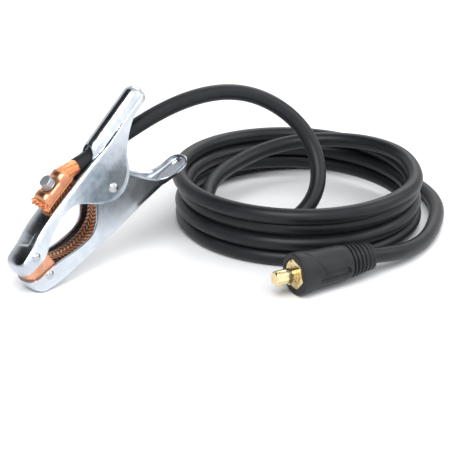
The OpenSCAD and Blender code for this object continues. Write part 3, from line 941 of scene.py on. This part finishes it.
def make_saddle():
    """A bent copper cap: a round hump at each end and a pressed flat for the bolt between them."""
    rows, turns, verts = 61, 36, []
    half_length, half_width = SADDLE_LENGTH / 2, SADDLE_WIDTH / 2 - 0.9
    low = STACK_LOW + 2.8
    for i in range(rows):
        x = between(-half_length, half_length, i / (rows - 1))
        hump = max(high * math.exp(-((x - at) / reach) ** 4) for high, at, reach in SADDLE_HUMPS)
        rim = 0.5 * smooth((abs(x) - half_length + 1.2) / 1.2)
        top = SADDLE_TOP - 0.7 + 2.9 * hump - rim
        power = between(3.6, 2.5, hump)
        for k in range(turns + 1):
            a = math.pi * k / turns
            y = -math.copysign(abs(math.cos(a)) ** (2 / power), math.cos(a))
            verts.append(Vector((x, y * half_width, low + (top - low) * math.sin(a) ** (2 / power))))
    make_pressed("saddle_cap", "cable_saddle", (verts, grid_faces(rows, turns + 1)), "pad_copper", UPPER,
                 on_web((0, 0, 0)), sheet=1.8, where=web_to_shared, look="saddle_copper")


def hex_radius(angle, flats):
    """Distance from the middle of a hexagon to its side, at an angle."""
    part = (angle + math.pi / 6) % (math.pi / 3) - math.pi / 6
    return 0.5 * flats / math.cos(part)


def hex_rows(flats, rows, turn, sides=72):
    """Rings of a hexagon whose corners are turned off; rows are (height, largest radius)."""
    verts = []
    for z, most in rows:
        verts += [on_circle(min(hex_radius(a + turn, flats), most), a, z) for a in around(sides)]
    return verts, grid_faces(len(rows), sides, closed=True)


def make_bolt():
    """The hexagon bolt through the saddle, with its washer."""
    base, height, shank_r = SADDLE_TOP + 0.7, 5.2, 3.0
    rows = [(0.0, 0.001), (0.0, 5.3), (0.4, 99), (3.9, 99), (4.3, 5.95), (4.65, 5.75), (4.95, 5.45),
            (height, 5.0), (height + 0.02, 4.6), (height - 0.12, 4.3), (height - 0.15, 0.001)]
    head = hex_rows(10.5, [(base + z, most) for z, most in rows], turn=0.35)
    washer = lathe([(3.3, 0), (6.2, 0), (6.5, 0.2), (6.5, 0.8), (6.2, 1.0), (3.3, 1.0)], 48,
                   (0, 0, SADDLE_TOP - 0.3))
    shank = lathe([(0.001, -10.4), (shank_r - 0.5, -10.4), (shank_r, -9.8), (shank_r, SADDLE_TOP + 1.0)], 32)
    bolt = make_piece("hexagon_bolt", *joined(head, washer, shank), "bolt_steel", UPPER, angle=28,
                      where=web_to_shared)
    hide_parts("cable_bolt")


def shaken(p, reach, rng):
    """A point moved at random across the bundle."""
    return p + Vector((0, rng.uniform(-reach, reach), rng.uniform(-reach, reach)))


def strand_knots(v, u, rng):
    """Points along one wire: v and u, from -1 to 1, are its place in the bundle, up and across."""
    bundle_r, half_width, half_height = 5.7, SADDLE_WIDTH / 2 - 2.9, CONDUCTOR_HEIGHT / 2 - 0.5
    middle = STACK_LOW + CONDUCTOR_HEIGHT / 2
    start = shared_to_web(ENTRY_ROUTE[0])
    outwards = (start - shared_to_web(ENTRY_ROUTE[1])).normalized()
    across = Vector((outwards.z, 0, -outwards.x))
    mouth = Vector((SADDLE_LENGTH / 2, 0, middle))
    y, z = u * math.sqrt(1 - v * v / 2), v * math.sqrt(1 - u * u / 2)
    knots = []
    for t in (-0.15, 0.15, 0.45, 0.75):
        turn = 0.7 * (1 - t)
        ry, rz = y * math.cos(turn) - z * math.sin(turn), y * math.sin(turn) + z * math.cos(turn)
        round_spot = start + outwards * 12 * t + Vector((0, ry * bundle_r, 0)) + across * rz * bundle_r
        flat_spot = mouth + Vector((4 * (0.75 - t), u * half_width, v * half_height))
        knots.append(shaken(round_spot.lerp(flat_spot, smooth(t / 0.85)), 0.25, rng))
    flat = Vector((0, u * half_width, middle + v * half_height))
    for x in (8.0, 0.0, -8.0, -14.0):
        knots.append(shaken(flat + Vector((x, 0, 0)), 0.12, rng))
    reach, splay = rng.uniform(2.0, 6.5), rng.uniform(0.0, 0.25)
    for part in (0.5, 1.0):
        loose_end = flat + Vector((-14.0 - reach * part, y * half_width * splay * part, 0))
        knots.append(shaken(loose_end, 1.3 * part, rng))
    return knots


def make_strands():
    """The bare end of the cable: a round bundle of wires, flattened under the saddle, frayed in front."""
    rng = random.Random(7)
    wire_r, rows, columns = 0.56, 8, 13
    parts, tones = [], []
    for i in range(rows):
        for j in range(columns):
            u = min(1.0, (2 * j + (i % 2)) / (columns - 1) - 1)
            parts.append(tube(spline(strand_knots(2 * i / (rows - 1) - 1, u, rng), 4), wire_r, 6))
            tones += [rng.uniform(0.35, 1.0)] * len(parts[-1][0])
    strands = make_piece("wire_strands", *joined(*parts), "bare_copper", UPPER, angle=70, where=web_to_shared,
                         tones=tones)
    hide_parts("bare_conductor")


# The strap's middle as (x, z), from under the saddle round the throat's back to the lower pad.
BRAID_PATH = [
    (54, 29.8), (64, 31.1), (74, 32.4), (81, 33.0), (86.5, 28.5), (90.5, 21), (92.5, 12), (92.5, 3),
    (90, -5), (84.5, -12.5), (76, -17.8), (65, -19.9), (54, -19.2), (44, -16.4),
    (36, -12.4), (29, -7.6), (22, -3.2), (14, -1.7),
]


def weave(along, across):
    """Height of a braid of plaited columns, from 0 in its grooves to 1 on its crests."""
    column, pitch = 5.0, 3.7
    place = across / column
    inside = place - math.floor(place)
    lean = 0.9 if math.floor(place) % 2 else -0.9
    strand = 0.5 + 0.5 * math.sin(2 * math.pi * (along / pitch + lean * inside))
    groove = min(1.0, 4.5 * min(inside, 1 - inside))
    wires = 0.12 * math.sin(2 * math.pi * (along / 0.85 - 2.2 * lean * inside))
    return max(0.0, min(1.0, strand ** 0.7 * (0.25 + 0.75 * groove) + wires * strand))


def make_braid(name, node, shift, phase):
    """One layer of the strap: a flat tube of woven wire that follows its path."""
    centre = relaxed(even(spline([(x, 0, z) for x, z in BRAID_PATH], 6), 0.4), 8)
    half_t, half_w, relief = BRAID_LAYER / 2 - 0.35, BRAID_WIDTH / 2 - 0.4, 0.5
    steps, verts, tones = 44, [], []
    for p, along, (across, up) in zip(centre, lengths(centre), frames(centre, up=(0, 1, 0))):
        middle = p + up * shift
        for side in (1, -1):
            for k in range(steps + 1):
                v = side * between(1, -1, k / steps)
                edge = math.sqrt(max(0.0, 1 - abs(v) ** 6))
                h = weave(along + phase + (1.1 if side < 0 else 0), (v + 1) * half_w)
                verts.append(middle + across * v * half_w + up * side * edge * (half_t + relief * h))
                # The weave's height also goes to the colour, painting shade into the grooves.
                tones.append(h)
    columns = 2 * (steps + 1)
    faces = grid_faces(len(centre), columns, closed=True) + end_caps(len(centre), columns)
    strap = make_piece(name, verts, faces, "braid_copper", None, angle=60, tones=tones)
    blend_along(strap, [clamp_to_shared(p) for p in centre])
    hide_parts(node)


# ---- plug
PLUG_REAR = Vector((164.0, -163.0, 18.5))
PLUG_TURN = math.radians(170)
PLUG_LENGTH = 77.0
RIB_START, RIB_PITCH, RIB_WIDTH, RIB_COUNT = 4.2, 4.2, 2.6, 5
SLEEVE_START, SLEEVE_END = 27.0, 74.0  # the smooth part of the housing
HEX_FLATS, HEX_HEIGHT, HEX_TURN = 24.0, 7.0, math.radians(12)
PIN_R, PIN_END = 6.5, 96.0
PLUG_SIDES = 160


def plug_to_shared(p):
    """A point of the plug's frame: z along the plug to its pin, x down, y to the side."""
    z = Vector((math.cos(PLUG_TURN), math.sin(PLUG_TURN), 0))
    x = Vector((0, 0, -1))
    return PLUG_REAR + x * p[0] + z.cross(x) * p[1] + z * p[2]


def plug_profile():
    """(radius, place) along the housing from its rear to its front face."""
    rows = [(8.2, 6.0), (8.2, 0.6), (9.2, 0.1), (10.9, 0.2), (11.7, 0.5), (12.0, 1.0), (12.0, 2.8),
            (11.8, 3.2), (11.4, 3.5)]
    for i in range(RIB_COUNT):
        middle = RIB_START + i * RIB_PITCH + RIB_WIDTH / 2
        outer = between(12.4, 14.4, i / (RIB_COUNT - 1))
        inner = between(11.4, 12.4, i / (RIB_COUNT - 1))
        for k in range(11):
            a = math.pi * k / 10
            rows.append((between(inner, outer, math.sin(a) ** 0.55), middle - RIB_WIDTH / 2 * math.cos(a)))
    rows += [(12.6, 24.3), (14.0, 24.8), (14.6, 25.6)]
    sleeve = [(SLEEVE_START, 14.9), (31, 15.6), (42, 16.0), (54, 16.4), (59, 16.9), (66, 17.8), (70.5, 18.3),
              (SLEEVE_END, 18.5)]
    steps = int(2 * (SLEEVE_END - SLEEVE_START))
    rows += [(line(sleeve, SLEEVE_START + i / 2), SLEEVE_START + i / 2) for i in range(steps)]
    rows += arc_profile((17.0, 75.5), 1.5, 0, 90, 6)
    return rows


def housing_relief(angle, z):
    """How far the housing's skin lies below its round profile, at an angle and a place along it."""
    side = (angle - math.pi / 2 + math.pi) % (2 * math.pi) - math.pi
    reach = math.hypot(max(0.0, abs(z - 44.0) - 10.8), (side + 0.14) * 16.3)
    recess = 2.1 * (1 - smooth((reach - 4.3) / 0.9))
    groove = 0.7 * math.exp(-((z - 53.0 - 10 * (side - 0.1)) / 0.5) ** 2)
    groove *= smooth((side - 0.02) / 0.12) * (1 - smooth((side - 1.5) / 0.15))
    return recess + groove


def make_housing():
    """The rubber housing, with a hexagonal mouth for the contact."""
    verts, profile = [], plug_profile()
    for r, z in profile:
        smooth_part = SLEEVE_START < z < SLEEVE_END + 1.6
        verts += [on_circle(r - (housing_relief(a, z) if smooth_part else 0.0), a, z)
                  for a in around(PLUG_SIDES)]
    # The mouth's depths, with its gap round the contact's hexagon at each.
    mouth = ((0.0, 1.4), (0.0, 0.75), (0.15, 0.45), (0.6, 0.3), (HEX_HEIGHT + 0.4, 0.3))
    for depth, gap in mouth:
        verts += [on_circle(min(hex_radius(a + HEX_TURN, HEX_FLATS) + gap, 17.0), a, PLUG_LENGTH - depth)
                  for a in around(PLUG_SIDES)]
    faces = grid_faces(len(profile) + len(mouth), PLUG_SIDES, closed=True)
    housing = make_piece("rubber_housing", verts, faces, "plug_rubber", LOWER, angle=38, where=plug_to_shared)
    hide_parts("plug_housing")
    return housing


def make_contact():
    """The brass contact: its hexagon in the housing's mouth, with two notches, and its grooved pin."""
    top = PLUG_LENGTH - 0.2
    base = hex_rows(HEX_FLATS - 0.1, [(PLUG_LENGTH - HEX_HEIGHT, 0.001), (PLUG_LENGTH - HEX_HEIGHT, 99),
                                      (top - 0.9, 99), (top - 0.5, 13.2), (top - 0.15, 12.7), (top, 12.2),
                                      (top, 7.0)], turn=HEX_TURN, sides=96)
    neck_r = PIN_R - 0.1
    pin = lathe([(7.0, top), (PIN_R + 0.3, top + 0.05), (neck_r, top + 0.4), (neck_r, PLUG_LENGTH + 7.6),
                 (PIN_R, PLUG_LENGTH + 8.2), (PIN_R, PIN_END - 1.3), (PIN_R - 0.3, PIN_END - 0.6),
                 (PIN_R - 1.0, PIN_END), (PIN_R - 1.4, PIN_END), (0.001, PIN_END)], 64)
    contact = make_piece("brass_contact", *joined(base, pin), "plug_brass", LOWER, angle=30,
                         where=plug_to_shared)
    for inner, outer, half, low, degrees in ((10.3, 14.5, 1.3, PLUG_LENGTH - 2.4, 205),
                                             (10.3, 14.5, 1.3, PLUG_LENGTH - 2.4, -34),
                                             (5.9, 7.2, 0.22, PIN_END - 14, 79)):
        outline = [(inner, -half), (outer, -half), (outer, half), (inner, half)]
        carve(contact, outline, low, PIN_END + 2, lambda p: plug_to_shared(turned(p, degrees)))
    finish_piece(contact, "plug_brass", 30)
    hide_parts("plug_contact")
    return contact


def turned(p, degrees):
    """A point turned about the plug's middle line."""
    a = math.radians(degrees)
    return Vector((p[0] * math.cos(a) - p[1] * math.sin(a), p[0] * math.sin(a) + p[1] * math.cos(a), p[2]))


def make_cam():
    """The locking cam on the pin's side."""
    rows, verts = 9, []
    for i in range(rows):
        t = i / (rows - 1)
        z = between(77.6, 83.8, t)
        rise = 2.1 * min(1.0, 4 * min(t, 1 - t) + 0.15)
        for k in range(13):
            s = between(-1, 1, k / 12)
            h = rise * min(1.0, 5 * (1 - abs(s)) + 0.05)
            verts.append(on_circle(PIN_R - 0.4 + h, s * 0.36, z))
    cam = make_piece("locking_cam", verts, grid_faces(rows, 13), "plug_brass", LOWER, where=plug_to_shared)
    solid = cam.modifiers.new("solid", "SOLIDIFY")
    solid.thickness = 0.4 * MM
    bake(cam)
    finish_piece(cam, "plug_brass", 35)
    return cam


def dress_hidden_nodes():
    """The small inner pieces keep their CAD shape and get their materials."""
    for node, look in (("pivot_spacer", "spring_steel"), ("bolt_washer", "bolt_steel"),
                       ("bolt_nut", "bolt_steel"), ("plug_ferrule", "bare_copper"),
                       ("plug_set_screws", "bolt_steel"), ("plug_conductor", "bare_copper")):
        mesh = frame["nodes"][node].data
        mesh.materials.clear()
        mesh.materials.append(LOOKS[look])


make_camera()
make_studio()
make_cable([make_housing(), make_contact(), make_cam()])
make_upper_arm()
make_lower_arm()
make_rivets()
make_spring()
make_pads()
make_saddle()
make_bolt()
make_strands()
make_braid("braid_layer_inner", "braid_inner", -BRAID_LAYER / 2, 0.0)
make_braid("braid_layer_outer", "braid_outer", BRAID_LAYER / 2, 1.1)
dress_hidden_nodes()
